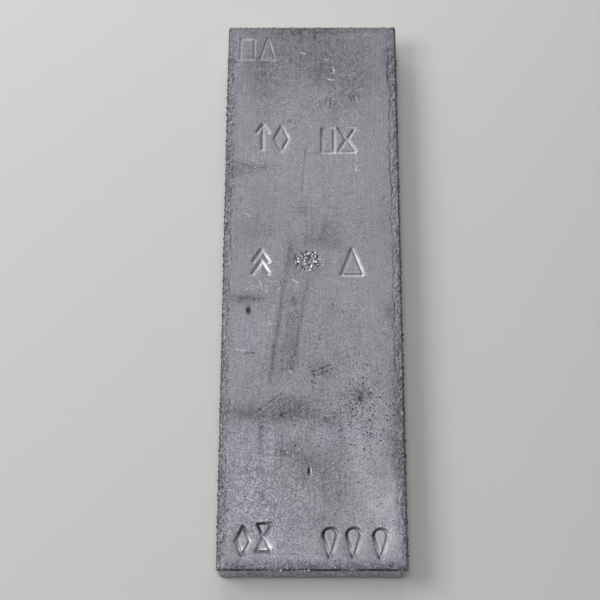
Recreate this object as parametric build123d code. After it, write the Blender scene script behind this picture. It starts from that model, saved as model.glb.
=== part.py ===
"""A flat lead ingot of one pound, cast in one pour in an open iron mould.

It lies the way up that it froze. The mould's floor made its underside, the mould's walls made its
four sides, which lean in towards the underside so that it drops out, and its top is the free
surface of the pour. Lead doesn't wet iron, so that surface rolls over along the walls, and it has
sunk a little in the middle, where the metal froze last. Plain figures are punched into it by hand.

X is the width, Y the length and Z the height. The origin is at the middle of the underside.
"""

import os
from math import asin, cos, radians, sin, tan

from build123d import *

# Driving dimensions, in millimetres and degrees
LENGTH = 133.0  # along Y, on the rim line, where the pour met the mould's walls
WIDTH = 40.0  # along X, on the rim line
RIM_HEIGHT = 7.25  # of the rim line above the underside
DRAFT = 3.0  # lean of the mould's walls from upright
CORNER_RADIUS = 0.8  # between two of the mould's walls, at the rim line
FLOOR_RADIUS = 1.2  # between the mould's floor and its walls

MARGIN_WIDTH = 2.0  # of the rolled margin, from the walls in to its crest
MARGIN_RISE = 0.5  # of the margin's crest above the rim line
CREST_RADIUS = 2.4  # of the crest's corners, seen from above

SINK_DEPTH = 0.2  # of the middle of the top below the crest
SINK_REACH = 11.0  # from the crest in to where the sink is level

PUNCH_FLAT = 0.3  # width of a punch's edge, which makes the bottom of its groove
PUNCH_BEVEL = 45.0  # lean of a punch's flanks from upright, so a deeper blow makes a wider groove
FAR_BLOW = 0.2  # depth of the marks in the row at the far end, which were struck lightly
UPPER_BLOW = 0.42
MIDDLE_BLOW = 0.5
NEAR_BLOW = 0.6
END_INSET = 6.3  # of the middles of the far and the near row from the bar's ends

CREST_HEIGHT = RIM_HEIGHT + MARGIN_RISE


def outline(inset: float, height: float, radius: float) -> Sketch:
    """A rounded rectangle inside the rim line by inset, at a height above the underside."""
    shape = RectangleRounded(WIDTH - 2 * inset, LENGTH - 2 * inset, radius)
    return Pos(Z=height) * shape


def moulded_block() -> Part:
    """All that the mould shaped: drafted walls that end in a rounded foot."""
    rim = outline(0, RIM_HEIGHT, CORNER_RADIUS)
    block = extrude(rim, amount=-RIM_HEIGHT, taper=DRAFT)
    underside = block.faces().sort_by(Axis.Z)[0]
    return fillet(underside.edges(), FLOOR_RADIUS)


def rolled_margin() -> Part:
    """The cap above the rim line, steep at the walls and level at its crest, as a drop's edge is."""
    rim = outline(0, RIM_HEIGHT, CORNER_RADIUS)
    halfway = outline(
        MARGIN_WIDTH / 2,
        RIM_HEIGHT + MARGIN_RISE * 3 / 4,
        (CORNER_RADIUS + CREST_RADIUS) / 2,
    )
    crest = outline(MARGIN_WIDTH, CREST_HEIGHT, CREST_RADIUS)
    return loft([rim, halfway, crest])


def sink() -> Part:
    """The shallow hollow in the top: level at the crest and level again in the middle."""
    crest = outline(MARGIN_WIDTH, CREST_HEIGHT, CREST_RADIUS)
    halfway = outline(
        MARGIN_WIDTH + SINK_REACH / 2,
        CREST_HEIGHT - SINK_DEPTH / 2,
        CREST_RADIUS,
    )
    middle = outline(MARGIN_WIDTH + SINK_REACH, CREST_HEIGHT - SINK_DEPTH, CREST_RADIUS)
    return loft([crest, halfway, middle])


# The punches' figures: each is the lines that its strokes follow, about their middle.


def box(width: float, height: float) -> list:
    return [Rectangle(width, height).wire()]


def lozenge(width: float, height: float) -> list:
    side, top = width / 2, height / 2
    return [Polyline((0, -top), (side, 0), (0, top), (-side, 0), close=True)]


def peak(width: float, height: float) -> list:
    side, top = width / 2, height / 2
    return [Polyline((-side, -top), (side, -top), (0, top), close=True)]


def hourglass(width: float, height: float) -> list:
    """Two peaks, tip to tip."""
    (glass,) = peak(width, height / 2)
    lower = Pos(Y=-height / 4) * glass
    return [lower, Rot(Z=180) * lower]


def arrow(width: float, height: float) -> list:
    side, top = width / 2, height / 2
    barb = top - side * 1.4
    return [Line((0, -top), (0, top)), Polyline((-side, barb), (0, top), (side, barb))]


def chevrons(width: float, height: float) -> list:
    side, rise = width / 2, height / 2
    upper = Polyline((-side, 0), (0, rise), (side, 0))
    return [upper, Pos(Y=-rise) * upper]


def drop(width: float, height: float) -> list:
    """A round head, with straight sides that leave it smoothly for the tip."""
    radius = width / 2
    lean = asin(radius / (height - radius))
    side = radius * cos(lean)
    shoulder = height / 2 - radius - radius * sin(lean)
    tip = (0, -height / 2)
    head = ThreePointArc((side, shoulder), (0, height / 2), (-side, shoulder))
    return [Wire([Line(tip, head @ 0), head, Line(head @ 1, tip)])]


# Each row: how deep it is struck, and its figures, each with its middle across and along the bar,
# its width and its height. The end rows keep their distance from the bar's ends and sides.
LEFT, RIGHT = -WIDTH / 2, WIDTH / 2
FAR_ROW = LENGTH / 2 - END_INSET
NEAR_ROW = END_INSET - LENGTH / 2
PUNCHES = [
    (FAR_BLOW, [
        (box, LEFT + 4.7, FAR_ROW, 3.2, 5.6),
        (peak, LEFT + 9.5, FAR_ROW, 3.4, 5.6),
    ]),
    (UPPER_BLOW, [
        (arrow, -11.4, 36.3, 2.6, 6.4),
        (lozenge, -7.1, 35.9, 3.0, 6.2),
        (box, 3.7, 35.5, 2.5, 6.0),
        (hourglass, 8.0, 35.6, 3.6, 6.0),
    ]),
    (MIDDLE_BLOW, [
        (chevrons, -11.4, 4.3, 3.4, 5.8),
        (peak, 9.0, 4.3, 4.4, 6.2),
    ]),
    (NEAR_BLOW, [
        (lozenge, LEFT + 5.5, NEAR_ROW, 2.7, 5.9),
        (hourglass, LEFT + 9.9, NEAR_ROW + 0.7, 2.7, 5.9),
        (drop, RIGHT - 16.3, NEAR_ROW - 0.3, 2.7, 5.9),
        (drop, RIGHT - 11.4, NEAR_ROW - 0.3, 2.7, 5.9),
        (drop, RIGHT - 5.8, NEAR_ROW - 0.5, 2.7, 5.9),
    ]),
]


def surface_height(across: float, along: float) -> float:
    """About how high the top is at a place, which the sink lowers from the crest inwards."""
    from_crest = min(WIDTH / 2 - abs(across), LENGTH / 2 - abs(along)) - MARGIN_WIDTH
    return CREST_HEIGHT - SINK_DEPTH * min(from_crest / SINK_REACH, 1)


def grooves() -> list[Part]:
    """What the punches press into the top: bevelled grooves, one for each stroke of a figure."""
    pressed = []
    for depth, figures in PUNCHES:
        mouth_width = PUNCH_FLAT + 2 * depth * tan(radians(PUNCH_BEVEL))
        for figure, across, along, width, height in figures:
            top = Pos(across, along, surface_height(across, along))
            for stroke in figure(width, height):
                mouth = top * trace(stroke, line_width=mouth_width)
                groove = extrude(mouth, amount=-depth, taper=PUNCH_BEVEL)
                clear_above = extrude(mouth, amount=SINK_DEPTH)
                pressed += [groove, clear_above]
    return pressed


ingot = moulded_block() + rolled_margin() - sink() - grooves()

os.makedirs("parts", exist_ok=True)
export_step(ingot, "parts/ingot.step")
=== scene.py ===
"""A hand-poured lead ingot of one pound, lying on a pale floor with its pour surface up."""

from math import cos, pi, radians, sin

import bpy
import numpy as np
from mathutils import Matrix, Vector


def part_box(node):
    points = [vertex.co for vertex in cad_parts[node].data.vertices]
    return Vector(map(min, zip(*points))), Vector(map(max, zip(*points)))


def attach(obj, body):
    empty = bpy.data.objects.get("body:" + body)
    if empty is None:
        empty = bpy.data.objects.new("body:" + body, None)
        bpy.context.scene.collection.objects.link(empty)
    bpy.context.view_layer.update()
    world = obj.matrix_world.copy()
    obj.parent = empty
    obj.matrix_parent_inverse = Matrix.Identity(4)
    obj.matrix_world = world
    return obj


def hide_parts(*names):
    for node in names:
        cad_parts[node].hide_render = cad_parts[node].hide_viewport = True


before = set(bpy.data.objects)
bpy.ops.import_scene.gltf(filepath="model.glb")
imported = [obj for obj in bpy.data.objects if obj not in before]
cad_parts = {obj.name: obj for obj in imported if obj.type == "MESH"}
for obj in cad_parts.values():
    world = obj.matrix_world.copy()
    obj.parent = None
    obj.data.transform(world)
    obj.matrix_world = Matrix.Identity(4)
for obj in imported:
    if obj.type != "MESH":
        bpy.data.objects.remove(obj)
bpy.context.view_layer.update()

MM = 0.001  # all lengths below are in millimetres and turn to metres by this

# Camera
# The photograph looks down on the ingot from over its near end, through a long lens. Its place and
# its angles come from the ingot's four upper corners and its near wall in the 600 by 600 image.
CAMERA_PLACE = (-0.33, -157.63, 344.65)
CAMERA_ANGLES = (24.33, 0.33, 0.16)  # degrees about X, Y and Z
CAMERA_LENS = 100.2
camera_data = bpy.data.cameras.new("camera")
camera_data.lens = CAMERA_LENS
camera = bpy.data.objects.new("camera", camera_data)
camera.location = [length * MM for length in CAMERA_PLACE]
camera.rotation_euler = [radians(angle) for angle in CAMERA_ANGLES]
bpy.context.scene.collection.objects.link(camera)
bpy.context.scene.camera = camera
bpy.context.scene.view_settings.view_transform = "Standard"


# Floor
# A matt off-white board, plain, so that only the ingot's shadow falls on it.
def linear(colour):
    """A colour written as sRGB hex, such as "8f9094", as linear red, green, blue and alpha."""
    parts = [int(colour[place:place + 2], 16) / 255 for place in (0, 2, 4)]
    return [c / 12.92 if c <= 0.04045 else ((c + 0.055) / 1.055) ** 2.4 for c in parts] + [1]


FLOOR_COLOUR = "c8c7c6"
FLOOR_SIZE = 4000
bpy.ops.mesh.primitive_plane_add(size=FLOOR_SIZE * MM)
floor = bpy.context.object
floor.name = "floor"
board = bpy.data.materials.new("matt_board")
board.use_nodes = True
board_shader = board.node_tree.nodes["Principled BSDF"]
board_shader.inputs["Base Color"].default_value = linear(FLOOR_COLOUR)
board_shader.inputs["Roughness"].default_value = 0.8
floor.data.materials.append(board)

# Light
# A soft lamp high on the left throws the shadow to the right, one over the near end lights the
# face, and a low one past the far end makes the floor paler there. The room fills the shadow.
ROOM_COLOUR = "ffffff"
ROOM_STRENGTH = 0.15
world = bpy.data.worlds.new("room")
bpy.context.scene.world = world
world.use_nodes = True
world.node_tree.nodes["Background"].inputs["Color"].default_value = linear(ROOM_COLOUR)
world.node_tree.nodes["Background"].inputs["Strength"].default_value = ROOM_STRENGTH

# Name, place, width and length, power
LAMPS = [
    ("left_lamp", (-350, 20, 400), (260, 260), 1.25),
    ("overhead_lamp", (0, -140, 600), (200, 200), 1.12),
    ("far_lamp", (-70, 380, 160), (350, 200), 1.05),
]
for name, lamp_place, (across, along), power in LAMPS:
    lamp_data = bpy.data.lights.new(name, "AREA")
    lamp_data.shape = "RECTANGLE"
    lamp_data.size = across * MM
    lamp_data.size_y = along * MM
    lamp_data.energy = power
    lamp = bpy.data.objects.new(name, lamp_data)
    lamp.location = [length * MM for length in lamp_place]
    lamp.rotation_euler = (-lamp.location).to_track_quat("-Z", "Y").to_euler()
    bpy.context.scene.collection.objects.link(lamp)

# Ingot: the casting
# One pour of lead in an open iron mould. The walls and the rounded foot are the mould's, and the
# margin round the top is where the metal, which doesn't wet iron, rolled over before it froze.
HALF_WIDTH, HALF_LENGTH, CREST_HEIGHT = np.array(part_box("ingot")[1]) / MM
MARGIN_RISE = 0.5  # of the crest above the rim line, where the pour met the walls
RIM_HEIGHT = CREST_HEIGHT - MARGIN_RISE
MARGIN_WIDTH = 2.0
SIDE_ROLL = 0.5  # how far in the margin rolls up along the long walls
NEAR_ROLL = 2.1  # the same, along the near end
FAR_ROLL = 0.6
CREST_RADIUS = 2.4  # of the crest's corners, seen from above
NEAR_CORNER = 0.8  # radius of the mould's upright corners
FAR_CORNER = 0.4
DRAFT = radians(3)  # lean of the walls from upright
FOOT_RADIUS = 1.2  # between the walls and the underside
SINK_DEPTH = 0.2  # of the middle of the pour surface below the crest
SINK_REACH = 11.0  # from the crest in to where the sink is level
SKIN_PITCH = 0.125  # between points of the pour surface
WALL_ROWS = 40  # of points from the rim line down to the underside

bpy.ops.object.select_all(action="DESELECT")
bpy.ops.mesh.primitive_grid_add(
    x_subdivisions=round(2 * HALF_WIDTH / SKIN_PITCH),
    y_subdivisions=round(2 * HALF_LENGTH / SKIN_PITCH),
    size=1,
)
ingot = bpy.context.object
ingot.name = "lead_ingot"
bpy.ops.object.mode_set(mode="EDIT")
bpy.ops.transform.resize(value=(2 * HALF_WIDTH, 2 * HALF_LENGTH, 1))
bpy.ops.transform.translate(value=(0, 0, RIM_HEIGHT))
bpy.ops.mesh.select_mode(type="EDGE")
bpy.ops.mesh.select_all(action="DESELECT")
bpy.ops.mesh.select_non_manifold()
bpy.ops.mesh.extrude_region_move(TRANSFORM_OT_translate={"value": (0, 0, -RIM_HEIGHT)})
bpy.ops.mesh.edge_face_add()
bpy.ops.mesh.select_all(action="DESELECT")
bpy.ops.object.mode_set(mode="OBJECT")
skin = ingot.data


def points_of(mesh):
    """The places of a mesh's points, one row for each."""
    places = np.empty(len(mesh.vertices) * 3)
    mesh.vertices.foreach_get("co", places)
    return places.reshape(-1, 3)


ends = np.empty(len(skin.edges) * 2, dtype=int)
skin.edges.foreach_get("vertices", ends)
heights = points_of(skin)[:, 2][ends.reshape(-1, 2)]
skin.edges.foreach_set("select", np.ptp(heights, axis=1) > RIM_HEIGHT / 2)
bpy.ops.object.mode_set(mode="EDIT")
bpy.ops.mesh.subdivide_edgering(number_cuts=WALL_ROWS, interpolation="LINEAR")
bpy.ops.mesh.select_all(action="SELECT")
bpy.ops.mesh.normals_make_consistent(inside=False)
bpy.ops.object.mode_set(mode="OBJECT")


def ease(share):
    """From 0 to 1 as share goes from 0 to 1, level at both ends."""
    share = np.clip(share, 0, 1)
    return share * share * (3 - 2 * share)


def rise(place, start, length):
    """From 0 at the start to 1 at a length past it, level at both ends."""
    return ease((place - start) / length)


def inset_from_rim(x, y):
    """How far in from the rim line a place on the pour surface is, with the crest's corners."""
    across = np.abs(x) - (HALF_WIDTH - CREST_RADIUS)
    along = np.abs(y) - (HALF_LENGTH - CREST_RADIUS)
    outside = np.hypot(np.maximum(across, 0), np.maximum(along, 0))
    return np.maximum(CREST_RADIUS - outside - np.minimum(np.maximum(across, along), 0), 0)


x, y, z = points_of(skin).T
is_wall = z < RIM_HEIGHT - 1e-4

# The plan's sharp corners close in to arcs.
radius = np.where(y < 0, NEAR_CORNER, FAR_CORNER)
corner_x = np.clip((np.abs(x) - HALF_WIDTH) / radius + 1, 0, 1)
corner_y = np.clip((np.abs(y) - HALF_LENGTH) / radius + 1, 0, 1)
x -= np.sign(x) * radius * corner_x * (1 - np.sqrt(1 - corner_y**2 / 2))
y -= np.sign(y) * radius * corner_y * (1 - np.sqrt(1 - corner_x**2 / 2))

# Down the drafted wall and round the foot, by the length of that path.
straight = (RIM_HEIGHT - FOOT_RADIUS * (1 - sin(DRAFT))) / cos(DRAFT)
travel = (1 - z / RIM_HEIGHT) * (straight + FOOT_RADIUS * (pi / 2 - DRAFT))
down_wall = np.minimum(travel, straight)
lean = DRAFT + (travel - down_wall) / FOOT_RADIUS
inset = down_wall * sin(DRAFT) + FOOT_RADIUS * (cos(DRAFT) - np.cos(lean))
z = RIM_HEIGHT - down_wall * cos(DRAFT) - FOOT_RADIUS * (np.sin(lean) - sin(DRAFT))
x *= 1 - inset / HALF_WIDTH
y *= 1 - inset / HALF_LENGTH

# The margin rolls up from each wall to its crest, and past it the surface sinks to the middle.
from_rim = inset_from_rim(x, y)
margin = MARGIN_RISE
for inward, roll in (
    (HALF_WIDTH - np.abs(x), SIDE_ROLL), (y + HALF_LENGTH, NEAR_ROLL), (HALF_LENGTH - y, FAR_ROLL)
):
    margin = margin * (1 - (1 - np.clip(inward / roll, 0, 1)) ** 2)
sink = SINK_DEPTH * rise(from_rim, MARGIN_WIDTH, SINK_REACH)
z = np.where(is_wall, z, RIM_HEIGHT + margin - sink)


# Ingot: the cast skin
# The pour surface froze in broad soft waves with an orange peel on them. Its margin is pebbled
# dross where it touched the long walls, and a cold lap, where it froze last, runs along inside.
def hills(x, y, size, seed):
    """Smooth random hills between about -1 and 1, one to each size millimetres."""
    turns = np.random.default_rng(seed).uniform(0, 2 * pi, (512, 512))
    column, row = np.floor(x / size).astype(int), np.floor(y / size).astype(int)
    right, up = x / size - column, y / size - row

    def slope(i, j):
        angle = turns[(column + i) % 512, (row + j) % 512]
        return np.cos(angle) * (right - i) + np.sin(angle) * (up - j)

    bottom = slope(0, 0) + (slope(1, 0) - slope(0, 0)) * ease(right)
    top = slope(0, 1) + (slope(1, 1) - slope(0, 1)) * ease(right)
    return 1.5 * (bottom + (top - bottom) * ease(up))


# Layers of random hills: the height of each, its size and its seed
WAVES = [(0.035, 16, 1), (0.016, 5, 2)]
PEEL = [(0.008, 1.2, 3), (0.006, 0.6, 4)]
FROSTED_PEEL = [(0.02, 1.2, 3)]
PEBBLES = [(0.12, 0.8, 5), (0.10, 0.4, 6)]
LAP_WANDER = [(0.5, 5, 7), (0.4, 1.8, 8)]
TEETH = [(0.25, 0.8, 10), (0.32, 0.42, 11)]

FROSTED = (-11, -50, 8, 9)  # middle and reach of a frosted patch, where the peel is coarser
ROUGH_END = 57.0  # past this, towards the far end, the margin is smoother and narrower
FAR_ROUGHNESS = 0.25  # of the margin past there, as a share of that along the sides
NEAR_ROUGHNESS = 0.4  # the same, at the near end
LAP_INSET = 1.9  # of the cold lap from the rim line, on the average
LAP_WIDTH = 0.22  # from the middle of the lap's crease to its edge
LAP_DEPTH = 0.11
LEFT_LAP = 0.2  # how full the lap's broken crease is on the left
RIGHT_LAP = 1.0
RIGHT_LAP_FADE = 0.9  # how much of the right one fades out, past 14 mm towards the near end
TEETH_REACH = 0.9  # of the teeth, inwards and down the walls from the rim line
TEETH_ROOT = 1.5  # from the walls in to where the teeth no longer push the skin outwards
TEETH_SET_BACK = 0.15  # of the line that the teeth stand on, inside the walls
FAR_TOOTH = 0.16  # length of the few teeth at the far end
FAR_SET_BACK = 0.2  # of the smooth margin's edge, inside the walls
SEAM_INSET = 0.16  # of the near end's crease from the rim line
SEAM_WIDTH = 0.09
SEAM_DEPTH = 0.1


def layered(x, y, layers):
    """The sum of layers of random hills."""
    return sum(height * hills(x, y, size, seed) for height, size, seed in layers)


def flecks(x, y, size, seed, gain, shift):
    """Random flecks, 1 in their middles and 0 between them, sharper by gain and fuller by shift."""
    return np.clip(gain * hills(x, y, size, seed) + shift, 0, 1)


def bell(distance, reach):
    """1 at no distance, falling softly to 0 past about twice the reach."""
    return np.exp(-((distance / reach) ** 2))


def patch(x, y, middle_x, middle_y, reach_x, reach_y):
    """A soft patch: 1 at its middle, 0 past about twice its reach."""
    return bell(x - middle_x, reach_x) * bell(y - middle_y, reach_y)


def roughness_along(y):
    """How rough the margin is, from 1 down to its far share towards the far end."""
    return 1 - (1 - FAR_ROUGHNESS) * rise(y, ROUGH_END, 5)


def past_near_end(y):
    """From 0 at the near end to 1 where the long sides begin."""
    return rise(y, 1 - HALF_LENGTH, 2)


def past_lap(x, y):
    """How far inside the wavy cold lap a place is, below 0 in the margin."""
    return inset_from_rim(x, y) - LAP_INSET - layered(x, y, LAP_WANDER)


def lap_share(x, y):
    """How much of the lap's crease a place has. It is broken, and fades out at the near right."""
    fullness = np.where(x > 0, RIGHT_LAP - RIGHT_LAP_FADE * rise(-y, 14, 12), LEFT_LAP)
    return flecks(x, y, 2.2, 9, 1, fullness) * bell(past_lap(x, y), LAP_WIDTH)


def seam_open(x):
    """How open the near end's crease is across the bar, from 0 to 1."""
    return ease(0.75 + 1.6 * hills(x, 0 * x, 5, 13))


def seam_share(x, y):
    """How much of the near end's crease a place has, from 0 to 1."""
    inset = y + HALF_LENGTH - SEAM_INSET - 0.04 * hills(x, 0 * x, 1.5, 12)
    return seam_open(x) * bell(inset, SEAM_WIDTH)


rough = roughness_along(y) * (1 - (1 - NEAR_ROUGHNESS) * (1 - past_near_end(y)))
waves = layered(x, y, WAVES)
peel = layered(x, y, PEEL) + patch(x, y, *FROSTED) * layered(x, y, FROSTED_PEEL)
pebbles = rough * (1 - rise(past_lap(x, y), -0.5, 0.6)) * layered(x, y, PEBBLES)
lap = LAP_DEPTH * rough * lap_share(x, y)
z += np.where(is_wall, 0, waves + peel + pebbles - lap)

# Fins: thin teeth of lead that ran out along the rim line, over the mould's edge.
near_rim = ease(1 - np.where(is_wall, travel, from_rim) / TEETH_REACH)
teeth = near_rim * rough * (layered(x, y, TEETH) - TEETH_SET_BACK)
set_back = FAR_SET_BACK * rise(y, ROUGH_END, 1.5) * near_rim
far_teeth = FAR_TOOTH * near_rim * flecks(x, 0 * x, 1.1, 31, 2.5, -0.2) * (y > 0)
side_x = rise(np.abs(x), HALF_WIDTH - TEETH_ROOT, TEETH_ROOT)
side_y = rise(np.abs(y), HALF_LENGTH - TEETH_ROOT, TEETH_ROOT)
x += np.sign(x) * (teeth - set_back) * side_x
y += (np.sign(y) * teeth + far_teeth) * side_y

# Seam: at the near end the skin froze first, and left a broken crease along the rim line.
z -= np.where(is_wall, 0, SEAM_DEPTH * seam_share(x, y))

# Ingot: the punched marks
# Four rows of plain figures, struck with hand punches whose edges have bevelled flanks, so each
# stroke is a groove with flat walls. The hardest blows drew the soft lead down all round them.
PUNCH_FLAT = 0.15  # width of a punch's edge, which makes the bottom of its groove
ISLAND_WALL = 0.15  # how far a groove's wall runs inside a closed figure
HEAD = [(0.5 * cos(turn), 0.275 + 0.225 * sin(turn)) for turn in np.linspace(-0.3, pi + 0.3, 15)]
FIGURES = {
    "lozenge": [[(0, 0.5), (0.5, 0), (0, -0.5), (-0.5, 0), (0, 0.5)]],
    "hourglass": [[(-0.5, 0.5), (0.5, 0.5), (-0.5, -0.5), (0.5, -0.5), (-0.5, 0.5)]],
    "arrow": [[(0, -0.5), (0, 0.5)], [(-0.5, 0.216), (0, 0.5), (0.5, 0.216)]],
    "box": [[(-0.5, -0.5), (0.5, -0.5), (0.5, 0.5), (-0.5, 0.5), (-0.5, -0.5)]],
    "peak": [[(-0.5, -0.5), (0, 0.5), (0.5, -0.5), (-0.5, -0.5)]],
    "chevrons": [
        [(-0.5, 0), (0, 0.5), (0.5, 0)],
        [(-0.5, -0.5), (0, 0), (0.5, -0.5)],
    ],
    "drop": [[(0, -0.5)] + HEAD + [(0, -0.5)]],
}
# A row's blows: their depth, how far the grooves' outer walls run, how much the punches leaned, how
# deep they drew the lead down round them, how much burnish with painted highlight they get and how
# much painted shade with dirt.
# Then its figures, each with its middle across and along, its width and its height.
ROWS = [
    ((0.17, 0.35, 0.3, 0.0, 0.25, 0.1), [
        ("box", -15.3, 60.2, 3.2, 5.6),
        ("peak", -10.5, 60.2, 3.4, 5.6),
    ]),
    ((0.33, 0.6, 0.4, 0.03, 0.32, 0.3), [
        ("arrow", -11.4, 36.3, 2.6, 6.4),
        ("lozenge", -7.1, 35.9, 3.0, 6.2),
        ("box", 3.7, 35.5, 2.5, 6.0),
        ("hourglass", 8.0, 35.6, 3.6, 6.0),
    ]),
    ((0.38, 0.6, 0.4, 0.03, 0.55, 0.3), [
        ("chevrons", -11.4, 4.3, 3.4, 5.8),
        ("peak", 9.0, 4.3, 4.4, 6.2),
    ]),
    ((0.5, 0.6, 1.0, 0.08, 0.5, 0.75), [
        ("lozenge", -14.5, -60.2, 2.7, 5.9),
        ("hourglass", -10.1, -59.5, 2.7, 5.9),
        ("drop", 3.7, -60.5, 2.7, 5.9),
        ("drop", 8.6, -60.5, 2.7, 5.9),
        ("drop", 14.2, -60.7, 2.7, 5.9),
    ]),
]
DRAWN_REACH = 1.15  # of the drawn-down lead from a groove's middle
LEAST_WALL = 0.2  # least run of an outer wall, at the top left of a leaning punch's groove
LEAN_RUN = 0.55  # how much less the wall runs there, as a share, where the punch leaned fully
LEAN_DEPTH = 0.4  # how much deeper the groove is there
LIP_PLACE = (0.35, 0.2)  # how far from a groove's middle its island's lip has a painted highlight, and its width
# painted highlight over the whole island of a closed figure
ISLAND_SHINE = 0.12
STIPPLED = (-1.0, 4.6, 3.1, 2.5)  # middle and reach of a round that a rough-faced punch left
STIPPLE_DEPTH = 0.28
STIPPLE_GRAIN = [(0.7, 0.5, 15), (0.3, 0.3, 16)]


def distance_to_strokes(x, y, strokes):
    """How far each place is from the nearest of the strokes, which are open lines of points."""
    nearest = np.full(len(x), np.inf)
    for stroke in strokes:
        for (x0, y0), (x1, y1) in zip(stroke, stroke[1:]):
            run_x, run_y = x1 - x0, y1 - y0
            share = ((x - x0) * run_x + (y - y0) * run_y) / (run_x**2 + run_y**2)
            share = np.clip(share, 0, 1)
            nearest = np.minimum(nearest, np.hypot(x - x0 - share * run_x, y - y0 - share * run_y))
    return nearest


def enclosed(x, y, strokes):
    """Whether each place is inside a closed stroke."""
    inside = np.zeros(len(x), dtype=bool)
    for stroke in strokes:
        for (x0, y0), (x1, y1) in zip(stroke, stroke[1:]):
            if stroke[0] == stroke[-1] and y0 != y1:
                passed = (y < y0) != (y < y1)
                inside ^= passed & (x < x0 + (y - y0) * (x1 - x0) / (y1 - y0))
    return inside


def struck(x, y, blow, figure):
    """How deep one blow presses each place, its burnish with painted highlight and its painted
    shade with dirt, from 0 to 1.
    """
    depth, run, lean, drawn, shine, dirt = blow
    name, mid_x, mid_y, width, height = figure
    lines = [[(mid_x + a * width, mid_y + b * height) for a, b in line] for line in FIGURES[name]]
    distance = distance_to_strokes(x, y, lines)
    island = enclosed(x, y, lines)
    above = np.clip((y - mid_y) / height, -0.5, 0.5)
    right = np.clip((x - mid_x) / width, -0.5, 0.5)

    # A leaning punch makes its groove deep and steep at the top left and wide at the lower right.
    tilt = lean * (above - right)
    wall = np.where(island, ISLAND_WALL, np.maximum(run * (1 - LEAN_RUN * tilt), LEAST_WALL))
    groove = np.clip((PUNCH_FLAT / 2 - distance) / wall + 1, 0, 1)
    pressed = ease(2 * groove)
    drawn_down = np.where(island, 0, drawn * bell(distance, DRAWN_REACH))

    # Burnish with painted highlight: it makes the lower right bright, but not its lowest part, and
    # the lip of the island too.
    flank = shine * np.clip(1 - 1.5 * tilt, 0, 1) * np.clip(1 + 8 * (above + 0.35) * lean, 0.2, 1)
    lip_from, lip_width = LIP_PLACE
    lip = 0.9 * shine * bell(distance - lip_from, lip_width) * np.clip(0.3 - 2 * tilt, 0, 1)
    bright = np.maximum(flank * pressed, lean * island * (lip + ISLAND_SHINE))

    # Painted shade with some dirt darkens the top, which is in shade, and the lowest part.
    lowest = 0.6 * lean * rise(-above, 0.34, 0.12)
    grime_and_shade = dirt * np.maximum(np.clip(4 * above - 0.3, 0, 1), lowest) * pressed
    return depth * (1 + LEAN_DEPTH * tilt) * groove + drawn_down, bright, grime_and_shade


def stippled(x, y):
    """The same, for the round that a rough-faced punch left."""
    mid_x, mid_y, reach_x, reach_y = STIPPLED
    from_middle = np.hypot((x - mid_x) / reach_x, (y - mid_y) / reach_y) + 0.12 * hills(x, y, 1, 14)
    share = 1 - rise(from_middle, 0.85, 0.3)
    depth = STIPPLE_DEPTH * share * np.clip(0.5 + layered(x, y, STIPPLE_GRAIN), 0, 1)
    return depth, share * flecks(x, y, 0.5, 17, 4, -0.7), share * flecks(x, y, 0.5, 18, 3, 0.3)


def punched(x, y):
    """The same, for all the marks."""
    depth, bright, grime_and_shade = stippled(x, y)
    for blow, figures in ROWS:
        for figure in figures:
            _, mid_x, mid_y, width, height = figure
            near = np.abs(x - mid_x) < width / 2 + 3 * DRAWN_REACH
            near &= np.abs(y - mid_y) < height / 2 + 3 * DRAWN_REACH
            # rubbed carries burnish with painted highlight, and dirty carries painted shade with
            # dirt
            pressed, rubbed, dirty = struck(x[near], y[near], blow, figure)
            depth[near] += pressed
            bright[near] = np.maximum(bright[near], rubbed)
            grime_and_shade[near] = np.maximum(grime_and_shade[near], dirty)
    return depth, bright, grime_and_shade


z -= np.where(is_wall, 0, punched(x, y)[0])

# Ingot: pits and nicks
# Blow holes and grit left pits in the pour surface, and years of handling added dents, nicks and
# scratches. Pits hold dirt, and fresh nicks are bright.
# Middle across and along, reach across and along, depth
PITS = [
    (-14.0, -7.7, 0.42, 0.8, 0.3),
    (-0.6, -44.9, 0.25, 0.75, 0.3),
    (-1.2, -15.2, 0.3, 0.25, 0.08),
    (1.7, -14.5, 0.3, 0.25, 0.08),
    (4.8, -6.3, 0.3, 0.3, 0.10),
    (6.8, -8.0, 0.35, 0.3, 0.10),
    (-5.5, -41.2, 0.28, 0.28, 0.12),
    (-6.7, -32.4, 0.45, 0.5, 0.10),
    (-10.8, -35.2, 0.6, 0.4, 0.10),
    (-5.0, 40.4, 0.5, 0.4, 0.10),
    (1.8, 62.1, 0.3, 0.4, 0.08),
    (10.3, -28.8, 0.55, 0.5, 0.14),
    (10.6, -27.4, 0.5, 0.4, 0.10),
    (9.0, -27.6, 0.5, 0.35, 0.08),
    (12.9, 40.9, 0.3, 0.3, 0.06),
    (15.8, 40.3, 0.3, 0.3, 0.06),
]
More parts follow.
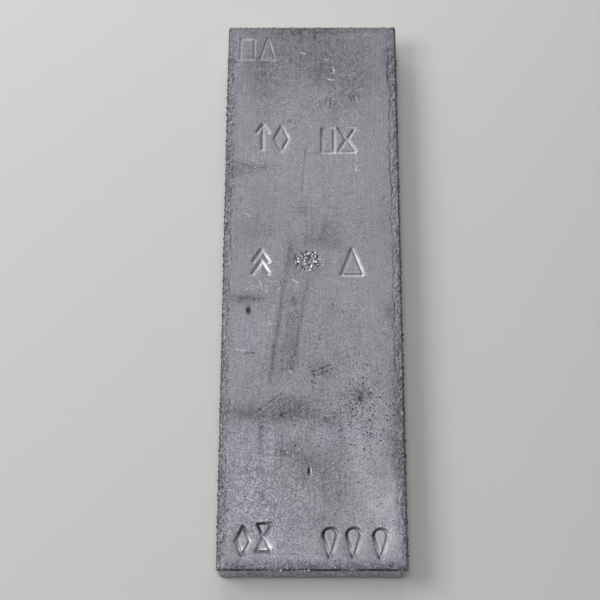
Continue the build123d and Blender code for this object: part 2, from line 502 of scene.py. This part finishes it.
# Two ends, half the width, depth, shine from -1 for dirt to 1 for bright metal
NICKS = [
    (-16.7, -17.1, -14.9, -17.5, 0.13, 0.06, 0.7),
    (-14.6, -18.2, -12.7, -17.8, 0.18, 0.10, -0.9),
    (-11.3, -31.1, -6.6, -27.3, 0.16, 0.07, -0.6),
    (-12.9, -19.7, -9.9, -20.6, 0.12, 0.03, -0.4),
    (-0.3, -22.4, 0.9, -22.0, 0.16, 0.06, -1.0),
    (1.6, -21.7, 2.9, -21.3, 0.13, 0.05, -1.0),
    (3.3, -20.9, 4.2, -20.7, 0.12, 0.04, -0.9),
    (0.3, -22.8, 0.5, -23.6, 0.14, 0.05, -1.0),
    (-0.2, -24.5, 0.6, -25.0, 0.14, 0.05, -1.0),
    (-4.3, -0.2, -3.1, -1.1, 0.11, 0.07, 1.0),
    (-12.0, -0.8, -11.2, -2.2, 0.1, 0.05, 0.8),
    (-6.7, 0.3, -6.3, 0.9, 0.1, 0.05, 0.8),
    (-2.7, 59.2, -1.6, 58.9, 0.12, 0.06, 0.9),
    (2.8, 57.4, 3.9, 57.2, 0.1, 0.05, 0.9),
    (4.6, 55.2, 5.1, 54.5, 0.11, 0.06, 1.0),
    (5.1, 54.5, 5.0, 53.3, 0.11, 0.06, 1.0),
    (3.6, 52.1, 4.4, 51.7, 0.12, 0.06, 1.0),
    (4.4, 51.7, 5.1, 51.8, 0.1, 0.05, 0.8),
    (9.8, 28.9, 10.0, 27.6, 0.2, 0.07, 1.0),
    (-5.0, -22.3, -4.5, -22.5, 0.2, 0.06, 1.0),
    (-14.6, 15.9, -14.2, 15.6, 0.2, 0.06, 0.9),
    (-9.7, -10.7, -9.1, -11.1, 0.14, 0.05, 0.7),
    (-1.5, 33.2, -2.4, 22.3, 0.2, 0.02, -0.35),
    (-1.5, 31.9, 1.8, 31.9, 0.25, 0.02, -0.4),
    (1.9, 45.9, 1.9, 44.2, 0.1, 0.05, -0.9),
    (3.2, 46.4, 3.1, 44.8, 0.1, 0.05, -0.9),
    (4.3, 46.8, 4.2, 44.4, 0.12, 0.06, -1.0),
    (5.7, 46.2, 5.6, 45.0, 0.1, 0.05, -0.9),
    (-5.6, -63.0, -3.2, -63.0, 0.14, 0.05, -0.5),
    (14.6, -56.4, 15.2, -57.1, 0.16, 0.06, -0.6),
    (-0.2, -44.3, -0.2, -45.6, 0.1, 0.0, 0.8),
    (0.6, -22.9, 1.6, -23.1, 0.12, 0.04, -0.9),
    (1.9, -22.6, 3.2, -22.2, 0.12, 0.04, -0.9),
    (3.4, -21.9, 4.4, -21.6, 0.1, 0.03, -0.8),
    (-0.6, -21.3, 0.3, -21.0, 0.12, 0.04, -0.8),
    (0.9, -20.6, 1.5, -20.3, 0.12, 0.04, -0.7),
    (0.2, -25.5, 0.5, -26.4, 0.12, 0.04, -0.8),
    (-3.6, -20.2, -3.0, -20.0, 0.12, 0.04, -0.7),
    (-9.0, -16.6, -8.3, -16.4, 0.12, 0.04, -0.6),
    (10.6, -10.3, 10.4, -13.6, 0.09, 0.02, -0.4),
    (10.6, -11.9, 13.6, -11.7, 0.09, 0.02, -0.4),
    (11.4, -13.1, 14.4, -13.3, 0.09, 0.02, -0.35),
    (8.6, 47.3, 9.2, 46.1, 0.12, 0.05, -0.9),
    (9.5, 47.5, 10.0, 46.3, 0.12, 0.05, -0.9),
    (10.2, 46.9, 10.6, 46.5, 0.12, 0.05, 0.9),
    (-17.6, 29.6, -13.0, 27.9, 0.14, 0.03, -0.5),
    (-13.0, 27.9, -10.8, 28.3, 0.12, 0.03, -0.5),
    (-16.8, 26.4, -12.0, 26.9, 0.12, 0.03, -0.4),
    (-16.0, -4.6, -10.5, -5.2, 0.35, 0.02, -0.2),
    (-7.2, -38.0, -7.6, -45.5, 0.15, 0.02, -0.3),
]
FULL_PIT = 0.16  # depth of a pit that is full of dirt


def worn(x, y):
    """How deep wear and pits go at each place, how much dirt they hold, and how bright they are."""
    depth, dirt, shine = np.zeros((3, len(x)))
    ragged = 1 + 0.7 * hills(x, y, 0.5, 32)
    for *place, deep in PITS:
        share = patch(x, y, *place)
        depth += deep * share
        dirt += share * deep / FULL_PIT
    for x0, y0, x1, y1, half_width, deep, bright in NICKS:
        distance = distance_to_strokes(x, y, [[(x0, y0), (x1, y1)]])
        share = bell(distance, half_width * ragged)
        depth += deep * share
        dirt += max(-bright, 0) * share
        shine += max(bright, 0) * share
    return depth, np.clip(dirt, 0, 1), np.clip(shine, 0, 1)


z -= np.where(is_wall, 0, worn(x, y)[0])

skin.vertices.foreach_set("co", np.stack([x, y, z], 1).ravel() * MM)
skin.update()

# Ingot: thinning
# The skin's points are thinned where it is even, which leaves them dense at marks and edges. Large
# faces then set the normals, so that the teeth don't shade the flat walls under them.
MOST_TRIANGLES = 190_000
skin.calc_loop_triangles()
thin = ingot.modifiers.new("thin", "DECIMATE")
thin.ratio = min(1, MOST_TRIANGLES / len(skin.loop_triangles))
bpy.context.view_layer.objects.active = ingot
bpy.ops.object.modifier_apply(modifier="thin")
bpy.ops.object.shade_smooth_by_angle(angle=radians(60))
weighted = ingot.modifiers.new("weighted", "WEIGHTED_NORMAL")
weighted.keep_sharp = True
bpy.ops.object.modifier_apply(modifier="weighted")
skin = ingot.data

# Ingot: patina and painted shade
# Bare lead dulls in days to a blue grey. Damp and touch have left darker stains in patches and
# streaks, a thin oxide film gives a violet cast, and the dross of the margin is darkest. Painted
# shade darkens the whole far end, the tops of the punched grooves and the near end's crease.
# Middle across and along, reach across and along, how dark
STAINS_AND_SHADE = [
    # the first, over the whole far end, is painted shade
    (0.0, 60.0, 24.0, 12.0, 0.38),
    (-11.5, 51.0, 3.4, 6.5, 0.24),
    (-13.5, 57.0, 2.0, 2.5, 0.12),
    (2.5, 53.0, 3.0, 3.0, 0.22),
    (10.5, 51.0, 4.5, 4.5, 0.2),
    (9.5, 46.5, 2.8, 2.0, 0.14),
    (-4.0, 64.5, 9.0, 2.4, 0.2),
    (5.0, 43.0, 1.5, 3.5, 0.2),
    (-17.0, 27.5, 3.2, 1.8, 0.3),
    (-12.5, 28.5, 4.0, 1.2, 0.15),
    (2.6, 27.0, 1.0, 3.0, 0.12),
    (-2.0, 17.5, 2.2, 2.0, 0.2),
    (2.5, 12.0, 3.2, 3.2, 0.26),
    (-4.6, 6.0, 1.2, 3.4, 0.2),
    (-1.0, 3.5, 3.6, 3.0, 0.22),
    (0.5, 9.3, 3.2, 1.2, 0.25),
    (5.2, 8.5, 1.5, 1.5, 0.2),
    (-14.0, 12.0, 5.0, 3.0, 0.12),
    (-15.0, -4.9, 3.8, 1.2, 0.45),
    (-12.5, -4.2, 1.6, 1.6, 0.14),
    (-14.0, -8.0, 0.9, 1.4, 0.2),
    (-3.9, -5.4, 1.3, 1.3, 0.26),
    (-5.0, -10.0, 1.8, 7.0, 0.15),
    (-4.8, -18.0, 2.4, 4.5, 0.18),
    (-8.0, -20.0, 1.6, 4.5, 0.16),
    (3.6, -8.0, 1.8, 2.0, 0.12),
    (2.2, -22.0, 2.4, 2.2, 0.34),
    (6.0, -19.0, 1.8, 1.4, 0.15),
    (10.4, -28.0, 1.4, 2.2, 0.36),
    (7.6, -27.6, 2.0, 1.0, 0.15),
    (-4.5, -29.0, 3.6, 1.4, 0.32),
    (-4.5, -31.8, 5.5, 2.2, 0.5),
    (-14.0, -31.8, 5.0, 1.9, 0.45),
    (3.6, -33.5, 2.6, 1.3, 0.35),
    (6.0, -35.5, 0.7, 1.8, 0.3),
    (-11.2, -37.5, 0.7, 4.0, 0.35),
    (-6.4, -40.0, 0.7, 4.0, 0.28),
    (-3.4, -41.0, 2.6, 2.4, 0.28),
    (0.5, -43.5, 3.6, 3.2, 0.26),
    (-0.8, -45.5, 1.6, 1.4, 0.1),
    (4.5, -48.0, 3.2, 5.5, 0.26),
    (3.0, -56.0, 4.0, 2.5, 0.16),
    (-10.5, -50.5, 1.4, 1.4, 0.25),
    (12.0, -36.0, 1.2, 2.5, 0.2),
    (17.2, -8.0, 1.4, 2.2, 0.35),
    (18.2, 57.0, 1.3, 7.0, 0.3),
    (-18.6, 40.0, 1.2, 20.0, 0.2),
    (9.5, -10.0, 0.8, 2.5, 0.15),
]
# Two ends, half the width and how dark, of streaks that a wet tool or finger drew
STREAKS = [
    (-4.9, 9.0, -6.3, -0.7, 0.5, 0.3),
    (-6.3, -0.7, -9.2, -24.6, 0.42, 0.42),
    (-1.0, -0.7, -4.6, -22.3, 0.36, 0.42),
    (-5.2, -9.0, -6.8, -23.0, 0.3, 0.2),
    (-3.4, -8.0, -5.6, -22.0, 0.5, 0.12),
]
# Middle across and along, reach across and along, how much violet film
FILMS = [
    (-13.5, -13.0, 3.6, 7.0, 0.4),
    (-14.0, -38.0, 4.5, 4.5, 0.7),
    (-13.0, -48.0, 5.0, 7.0, 0.6),
    (-8.0, -57.0, 9.0, 6.0, 0.6),
    (-8.6, -39.0, 0.8, 5.0, 0.8),
    (3.0, -37.0, 2.5, 2.2, 0.8),
    (8.5, -36.0, 2.6, 2.2, 0.9),
    (13.0, -38.0, 3.5, 3.0, 0.5),
    (15.5, -56.0, 3.5, 7.0, 0.6),
    (0.0, -64.5, 18.0, 1.8, 0.6),
    (-18.5, 57.0, 1.6, 9.0, 0.5),
    (-18.5, 36.0, 1.6, 12.0, 0.35),
    (18.0, 58.0, 1.4, 8.0, 0.9),
]
# The same, of places that handling has rubbed paler
RUBBED = [
    (14.8, -52.0, 3.2, 6.0, 0.55),
    (16.5, -60.5, 2.0, 3.5, 0.5),
    (11.2, -60.5, 0.8, 2.6, 0.45),
    (10.0, -43.0, 2.4, 5.0, 0.35),
    (0.5, -61.0, 1.6, 2.4, 0.3),
    (-3.5, -35.5, 1.5, 1.5, 0.3),
    (7.5, -57.0, 3.0, 3.0, 0.2),
    (-8.5, -60.5, 1.2, 2.4, 0.3),
    (4.0, 28.0, 9.0, 9.0, 0.14),
    (9.0, -8.0, 10.0, 16.0, 0.16),
    (8.0, -50.0, 8.0, 10.0, 0.12),
    (-12.0, -10.0, 6.0, 16.0, 0.1),
    (10.0, -31.0, 7.0, 7.0, 0.12),
    (-11.0, 29.0, 5.0, 6.0, 0.1),
    (9.5, -23.0, 1.8, 1.4, 0.15),
    (13.0, -31.0, 2.0, 2.0, 0.12),
    (12.0, -36.5, 3.5, 3.5, 0.3),
    (-13.0, -52.0, 5.0, 8.0, 0.14),
]
# The same, of places where painted glints, small highlights on single grains, are dense
GLINTED = [
    (-11.5, -2.4, 2.4, 1.6, 0.4),
    (-8.0, -1.4, 1.4, 1.2, 0.3),
    (-14.4, 16.0, 1.2, 1.2, 0.4),
    (-12.0, 29.5, 1.8, 1.4, 0.4),
    (-12.0, 45.5, 3.0, 1.2, 0.1),
    (8.0, 52.0, 5.0, 6.0, 0.03),
    (-15.0, -48.0, 3.0, 8.0, 0.12),
    (-8.0, -50.0, 4.0, 5.0, 0.08),
    (3.5, -44.5, 2.5, 1.5, 0.2),
]
# The same, of places where fine pits are dense
SPECKLED = [
    (11.0, -31.0, 6.0, 9.0, 0.8),
    (12.0, -50.0, 6.0, 9.0, 0.2),
    (0.0, -36.0, 9.0, 6.0, 0.25),
    (5.0, -18.0, 8.0, 8.0, 0.12),
    (8.0, 50.0, 8.0, 8.0, 0.2),
]
# How dark the margin is along each side, from 0 to 1
SIDE_DARK = 0.42
NEAR_RIGHT_DARKER = 0.14
NEAR_DARK = 0.46
FAR_DARK = 0.35
# The same, of the lap's crease and the gaps between the teeth, of the painted shade in the near
# end's crease, and of the dirt in full pits
LAP_DARK = 0.4
TEETH_DARK = 0.8
SEAM_SHADE = 0.3
PIT_DARK = 0.8
# How strong the painted highlights are on single teeth along the left edge and on single grains
# along the near end's crease
TEETH_HIGHLIGHT = 0.8
SEAM_HIGHLIGHT = 0.7
# Layers of random hills: the height of each, its size and its seed
STAIN_BLOTCHES = [(0.45, 1.1, 21), (0.4, 0.6, 22)]
MARGIN_BLOTCHES = [(0.6, 0.7, 24), (0.4, 2.5, 33)]


def spread(x, y, places):
    """The sum of soft patches, each with its amount."""
    return sum(amount * patch(x, y, *place) for *place, amount in places)


def stained_and_shaded(x, y):
    """How dark the stains and streaks, and the painted shade over the far end, make each place."""
    dark = spread(x, y, STAINS_AND_SHADE) * (1 + layered(x, y, STAIN_BLOTCHES))
    for x0, y0, x1, y1, half_width, amount in STREAKS:
        dark += amount * bell(distance_to_strokes(x, y, [[(x0, y0), (x1, y1)]]), half_width)
    return dark


x, y, z = points_of(skin).T / MM
from_rim = inset_from_rim(x, y)
from_near_end = y + HALF_LENGTH
struck_shine_and_highlight, grime_and_shade = punched(x, y)[1:]
dirt, shine = worn(x, y)[1:]

# The dross of the long margins is darkest at the walls and fades inwards, at the near right over
# a wider band.
along_sides = past_near_end(y) * (0.4 + 0.6 * roughness_along(y))
near_right = (x > 0) * rise(-y, 12, 12) * rise(y, -50, 8)
fade_start = np.where(x < 0, -1.5, -0.9)
fade_width = np.where(x < 0, 2.1, 1.2 + 2.2 * near_right)
fade = 1 - rise(past_lap(x, y), fade_start, fade_width)
side_dark = along_sides * (SIDE_DARK + NEAR_RIGHT_DARKER * near_right) * fade
side_dark *= 1 + layered(x, y, MARGIN_BLOTCHES)
near_dark = NEAR_DARK * (1 - rise(from_near_end, 1.2, 1.5)) * (1 + 0.4 * hills(x, y, 2.5, 34))
far_dark = FAR_DARK * (1 - rise(HALF_LENGTH - y, 0, 1.4))

# The lap's crease and the gaps between the teeth are darker, and the near end's crease has painted
# shade. Here and there a tip on the left, and a grain by that crease, has a painted highlight.
lap_dark = LAP_DARK * along_sides * lap_share(x, y)
teeth_dark = TEETH_DARK * along_sides * bell(from_rim, 0.45) * flecks(x, y, 0.6, 25, 3, 0)
teeth_highlight = TEETH_HIGHLIGHT * (x < 0) * bell(from_rim, 0.6) * flecks(x, y, 0.45, 35, 4, -1.4)
seam_shade = SEAM_SHADE * seam_share(x, y)
seam_highlight = SEAM_HIGHLIGHT * bell(from_near_end - 0.6, 0.25) * flecks(x, y, 0.5, 26, 3, -1.2)
edges_dark = lap_dark + teeth_dark + far_dark + seam_shade

# The crackled crust grows towards the near end, and is thickest where the skin is frosted.
crusted = 0.22 * rise(-y, -10, 40) + 0.55 * patch(x, y, *FROSTED)
shares = {
    "burnished_and_highlight": struck_shine_and_highlight + shine + seam_highlight + teeth_highlight,
    "stained_and_shaded": stained_and_shaded(x, y) + edges_dark + PIT_DARK * dirt + grime_and_shade,
    "dross": np.maximum(side_dark, near_dark),
    "filmed": spread(x, y, FILMS) * (1 + 0.6 * hills(x, y, 2.5, 23)),
    "rubbed": spread(x, y, RUBBED) * (1 + 0.5 * hills(x, y, 3, 30)),
    "glinted": spread(x, y, GLINTED),
    "speckled": spread(x, y, SPECKLED),
    "crusted": crusted * (1 + 0.5 * hills(x, y, 4, 29)),
    "seamed": seam_open(x),
}
for name, share in shares.items():
    attribute = skin.attributes.new(name, "FLOAT", "POINT")
    attribute.data.foreach_set("value", np.clip(share, 0, 1))

# Ingot: aged cast lead
# Cast lead under its oxide is a dull blue-grey metal with a satin to matt gloss and a fine dark
# mottle. Punches and nicks show it paler and glossier, the punches partly as painted highlight, and
# dross is nearly black and matt.
PALE = "a6a7ac"
MOTTLED = "7c7d84"
FILM_PALE = "b2b2c2"
FILM_MOTTLED = "868693"
RUBBED_PALE = "c8c8ce"
RUBBED_MOTTLED = "a8a8ae"
SHADE_AND_STAIN = "636165"  # what full stain and full painted shade leave of the tone under them
PIT = "47474b"  # the same, of the dirt in a pit and of the painted shade in the near end's crease
DROSS = "80808a"  # the same, of the margin's dross
WALL_SHADE = "868488"  # the same, of the dark streaks on the walls
BRIGHT = "cfcfd4"  # burnish-bright metal, and painted highlights
GLINT = "f2f2f4"  # painted glints: single grains made near-white where they would catch the light
METAL_SHARE = 0.85  # under 1 because of the oxide
SATIN = 0.55  # roughness of the skin, to which the mottle adds
BURNISHED_SATIN = 0.25
MATT_MOTTLE = 0.1

# Sizes of the patterns in mm. The real grain is under 0.1 mm, and it is drawn coarser, as the
# mottle, the grain and the scratches, so that the photograph's distance still shows it.
MOTTLE_SIZE = 0.22
CLOUD_SIZE = 1.6
UNEVEN_SIZE = 5.0  # of areas where the mottle is fainter or stronger
CRUST_SIZE = 0.8  # of the crackled crust towards the near end
POUR_LINE = (0.35, 9.0, 9.0)  # across, along and up, of the fine lines that the pour left
WALL_STREAK = (0.5, 0.5, 2.2)  # the same, of the marks that the mould drew down the walls
GRAIN_SIZE = 0.3
BUMP_HEIGHT = 0.06
PIT_SPACING = 0.7
GLINT_SPACING = 0.6
SCRATCH_SPACING = 2.6
SCRATCH_LENGTH = 1.8
SCRATCH_WIDTH = 0.09  # from a fine scratch's middle to its edge
SEAM_LINE_INSET = 0.36  # of the crease's painted shade from the rim line, less half its wander
SEAM_WANDER = 0.3
SEAM_LINE_EDGE = (0.15, 0.04)  # from the seam's middle to its outer and its inner edge
WALL_TOP = (1.2, 0.3)  # below the rim line, where the walls' look starts to end and has ended
WALL_BURNISH_AND_LIGHT = ((4, 0.45), (7, 0.75))  # height on the wall and its burnish with painted light there, less the clouds' share

CLOUD_SHARE = 0.14  # of the clouds in the mottle
LINE_SHARE = 0.18
MOTTLE_MIDDLE = 0.68  # of the three patterns' sum

ADD = {"operation": "ADD"}
SUBTRACT = {"operation": "SUBTRACT"}
MULTIPLY = {"operation": "MULTIPLY"}
MULTIPLY_ADD = {"operation": "MULTIPLY_ADD"}
MAXIMUM = {"operation": "MAXIMUM"}
ABSOLUTE = {"operation": "ABSOLUTE"}
COLOURS = {"data_type": "RGBA"}
DARKEN = {"data_type": "RGBA", "blend_type": "MULTIPLY"}

lead = bpy.data.materials.new("aged_cast_lead")
lead.use_nodes = True
nodes, links = lead.node_tree.nodes, lead.node_tree.links


def add_node(kind, settings, *values, **inputs):
    """Adds a shader node, with its inputs in order or by name, as values, sockets or nodes."""
    node = nodes.new("ShaderNode" + kind)
    for name, value in settings.items():
        setattr(node, name, value)
    sockets = [socket for socket in node.inputs if socket.enabled]
    by_name = {socket.name: socket for socket in sockets}
    given = list(zip(sockets, values))
    given += [(by_name[name.replace("_", " ")], value) for name, value in inputs.items()]
    for socket, value in given:
        if isinstance(value, bpy.types.Node):
            value = next(output for output in value.outputs if output.enabled)
        if isinstance(value, bpy.types.NodeSocket):
            links.new(value, socket)
        else:
            socket.default_value = value
    return node


place = add_node("TexCoord", {}).outputs["Object"]
_, along_bar, height = add_node("SeparateXYZ", {}, place).outputs
wall_end, top_start = [(RIM_HEIGHT - below) * MM for below in WALL_TOP]
on_top = add_node("MapRange", {}, height, From_Min=wall_end, From_Max=top_start)
share_of = {}
for name in shares:
    share = add_node("Attribute", {"attribute_name": name}).outputs["Fac"]
    share_of[name] = add_node("Math", MULTIPLY, share, on_top)

# Mottle: spots in clouds, with faint lines along the bar and a crackled crust
spots = add_node("TexNoise", {}, place, Scale=1 / (MOTTLE_SIZE * MM), Detail=2.0, Roughness=0.6)
clouds = add_node("TexNoise", {}, place, Scale=1 / (CLOUD_SIZE * MM), Detail=3.0)
line_place = add_node("Mapping", {}, place, Scale=[1 / (size * MM) for size in POUR_LINE])
lines = add_node("TexNoise", {}, line_place, Scale=1.0, Detail=1.0)
crust = add_node("TexNoise", {}, place, Scale=1 / (CRUST_SIZE * MM), Detail=4.0, Distortion=0.5)
ridge = add_node("Math", {"operation": "PINGPONG"}, crust, 0.5)
cracks = add_node("MapRange", {}, ridge, From_Min=0.4, From_Max=0.5, To_Min=-0.13, To_Max=0.3)
mixed = add_node("Math", MULTIPLY_ADD, clouds, CLOUD_SHARE, spots)
mixed = add_node("Math", MULTIPLY_ADD, lines, LINE_SHARE, mixed)
mixed = add_node("Math", MULTIPLY_ADD, cracks, share_of["crusted"], mixed)

# The mottle is harder in some areas, and where the skin is speckled or crusted.
uneven = add_node("TexNoise", {}, place, Scale=1 / (UNEVEN_SIZE * MM), Detail=2.0)
span = add_node("MapRange", {}, uneven, From_Min=0.35, From_Max=0.65, To_Min=0.17, To_Max=0.08)
harder = add_node("Math", ADD, share_of["speckled"], share_of["crusted"])
narrowed = add_node("MapRange", {}, harder, To_Min=1.1, To_Max=0.5)
span = add_node("Math", MULTIPLY, span, narrowed)
least = add_node("Math", SUBTRACT, MOTTLE_MIDDLE, span)
most = add_node("Math", ADD, MOTTLE_MIDDLE, span)
mottle = add_node("MapRange", {}, mixed, From_Min=least, From_Max=most)

# Pits: in few of many small cells, in more of them where the skin is speckled
pit_cells = add_node("TexVoronoi", {}, place, Scale=1 / (PIT_SPACING * MM))
pit_chance = add_node("SeparateColor", {}, pit_cells.outputs["Color"])
pit_chance = add_node("Math", ADD, pit_chance, share_of["speckled"])
pit_open = add_node("MapRange", {}, pit_chance, From_Min=0.96, From_Max=1.2)
pit_shape = add_node("MapRange", {}, pit_cells, From_Min=0.38, From_Max=0.15)
pits = add_node("Math", MULTIPLY, pit_open, pit_shape)

# Veins: where the crust is cracked, most where it is speckled
vein_line = add_node("MapRange", {}, ridge, From_Min=0.48, From_Max=0.495)
vein_cause = add_node("Math", ADD, uneven, share_of["speckled"])
vein_open = add_node("MapRange", {}, vein_cause, From_Min=0.7, From_Max=1.9)
veins = add_node("Math", MULTIPLY, vein_line, vein_open)

# Seam: painted shade in the crease along the near end's rim line, as a crisp line
seam_shade_line = add_node("Math", ADD, along_bar, (HALF_LENGTH - SEAM_LINE_INSET) * MM)
seam_shade_line = add_node("Math", MULTIPLY_ADD, clouds, SEAM_WANDER * MM, seam_shade_line)
seam_shade_line = add_node("Math", ABSOLUTE, seam_shade_line)
outer, inner = [edge * MM for edge in SEAM_LINE_EDGE]
seam_shade_line = add_node("MapRange", {}, seam_shade_line, From_Min=outer, From_Max=inner)
seam_shade_line = add_node("Math", MULTIPLY, seam_shade_line, share_of["seamed"])

# Scratches: in each of many cells a short straight line, bright in some cells and dark in others
cells = add_node(
    "TexVoronoi", {"voronoi_dimensions": "2D"}, place, Scale=1 / (SCRATCH_SPACING * MM)
)
turn_chance, length_chance, tone_chance = add_node(
    "SeparateColor", {}, cells.outputs["Color"]
).outputs
from_middle = add_node("VectorMath", SUBTRACT, place, cells.outputs["Position"])
turn = add_node("Math", MULTIPLY, turn_chance, 2 * pi)
turned = add_node("VectorRotate", {"rotation_type": "Z_AXIS"}, from_middle, Angle=turn)
turned = add_node("SeparateXYZ", {}, turned)
along = add_node("Math", ABSOLUTE, turned.outputs["X"])
aside = add_node("Math", ABSOLUTE, turned.outputs["Y"])
half_length = add_node("Math", MULTIPLY, length_chance, SCRATCH_LENGTH * MM / 2)
before_end = add_node("Math", {"operation": "LESS_THAN"}, along, half_length)
scratch = add_node("MapRange", {}, aside, From_Min=SCRATCH_WIDTH * MM, From_Max=0.0)
scratch = add_node("Math", MULTIPLY, scratch, before_end)
bright_one = add_node("MapRange", {}, tone_chance, From_Min=0.7, From_Max=1.2)
bright_scratch = add_node("Math", MULTIPLY, scratch, bright_one)
dark_one = add_node("MapRange", {}, tone_chance, From_Min=0.3, From_Max=0.0)
dark_scratch = add_node("Math", MULTIPLY, scratch, dark_one)
# The crease's painted shade joins the pits, veins and dark scratches, and takes their dark colour
# and relief.
for dirty in (veins, seam_shade_line, dark_scratch):
    pits = add_node("Math", MAXIMUM, pits, dirty)

# Glints: the same, of painted highlights on single grains, dense in the glinted patches
glint_cells = add_node(
    "TexVoronoi", {"voronoi_dimensions": "2D"}, place, Scale=1 / (GLINT_SPACING * MM)
)
glint_chance = add_node("SeparateColor", {}, glint_cells.outputs["Color"]).outputs["Green"]
glint_chance = add_node("Math", ADD, share_of["glinted"], glint_chance)
glint_open = add_node("MapRange", {}, glint_chance, From_Min=0.95, From_Max=1.03)
glint_shape = add_node("MapRange", {}, glint_cells, From_Min=0.26, From_Max=0.08)
glints = add_node("Math", MULTIPLY, glint_open, glint_shape)

# Walls: bare of dross, with marks that the mould drew down them, and paler and glossier towards the
# rim, as burnish with painted light
streak_place = add_node("Mapping", {}, place, Scale=[1 / (size * MM) for size in WALL_STREAK])
streaks = add_node("TexNoise", {}, streak_place, Scale=1.0, Detail=3.0)
streaks = add_node("MapRange", {}, streaks, From_Min=0.28, From_Max=0.7)
streaks = add_node("Mix", {}, on_top, streaks, 0.0)
(low, low_shine), (high, high_shine) = WALL_BURNISH_AND_LIGHT
wall_burnish_and_light = add_node("MapRange", {}, height, low * MM, high * MM, low_shine, high_shine)
wall_burnish_and_light = add_node("Math", MULTIPLY_ADD, clouds, 0.5, wall_burnish_and_light)
burnished_and_highlight = add_node("Mix", {}, on_top, wall_burnish_and_light, share_of["burnished_and_highlight"])
bright = add_node("Math", MAXIMUM, bright_scratch, burnished_and_highlight)

# Tone: the mottled metal, bare, filmed or rubbed, then the dirt and painted shade on it, its
# burnish and painted highlights, and painted glints
tone = add_node("Mix", COLOURS, mottle, linear(PALE), linear(MOTTLED))
for share, pale, mottled in (
    ("filmed", FILM_PALE, FILM_MOTTLED), ("rubbed", RUBBED_PALE, RUBBED_MOTTLED)
):
    cast = add_node("Mix", COLOURS, mottle, linear(pale), linear(mottled))
    tone = add_node("Mix", COLOURS, share_of[share], tone, cast)
grainy = add_node("Math", MULTIPLY_ADD, mottle, 0.45, 0.78)
for dirty, colour in ((share_of["dross"], DROSS), (share_of["stained_and_shaded"], SHADE_AND_STAIN), (pits, PIT)):
    dirty = add_node("Math", {"operation": "MULTIPLY", "use_clamp": True}, dirty, grainy)
    tone = add_node("Mix", DARKEN, dirty, tone, linear(colour))
tone = add_node("Mix", COLOURS, bright, tone, linear(BRIGHT))
tone = add_node("Mix", COLOURS, glints, tone, linear(GLINT))
tone = add_node("Mix", DARKEN, streaks, tone, linear(WALL_SHADE))

# Gloss: satin, glossier where the metal is bright and duller in the mottle
gloss = add_node("MapRange", {}, bright, To_Min=SATIN, To_Max=BURNISHED_SATIN)
gloss = add_node("Math", MULTIPLY_ADD, mottle, MATT_MOTTLE, gloss)

# Relief that is finer than the skin's points: grain, rougher in the dross, with pits and the crust
grain = add_node("TexNoise", {}, place, Scale=1 / (GRAIN_SIZE * MM), Detail=2.0)
pebbled = add_node("Math", MULTIPLY_ADD, share_of["dross"], 1.5, 1.0)
relief = add_node("Math", MULTIPLY, grain, pebbled)
relief = add_node("Math", SUBTRACT, relief, pits)
relief = add_node("Math", MULTIPLY_ADD, cracks, share_of["crusted"], relief)
bump = add_node("Bump", {}, Strength=0.8, Distance=BUMP_HEIGHT * MM, Height=relief)

shader = nodes["Principled BSDF"]
shader.inputs["Metallic"].default_value = METAL_SHARE
links.new(tone.outputs[2], shader.inputs["Base Color"])
links.new(gloss.outputs[0], shader.inputs["Roughness"])
links.new(bump.outputs[0], shader.inputs["Normal"])
skin.materials.clear()
skin.materials.append(lead)

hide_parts("ingot")
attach(ingot, "root")
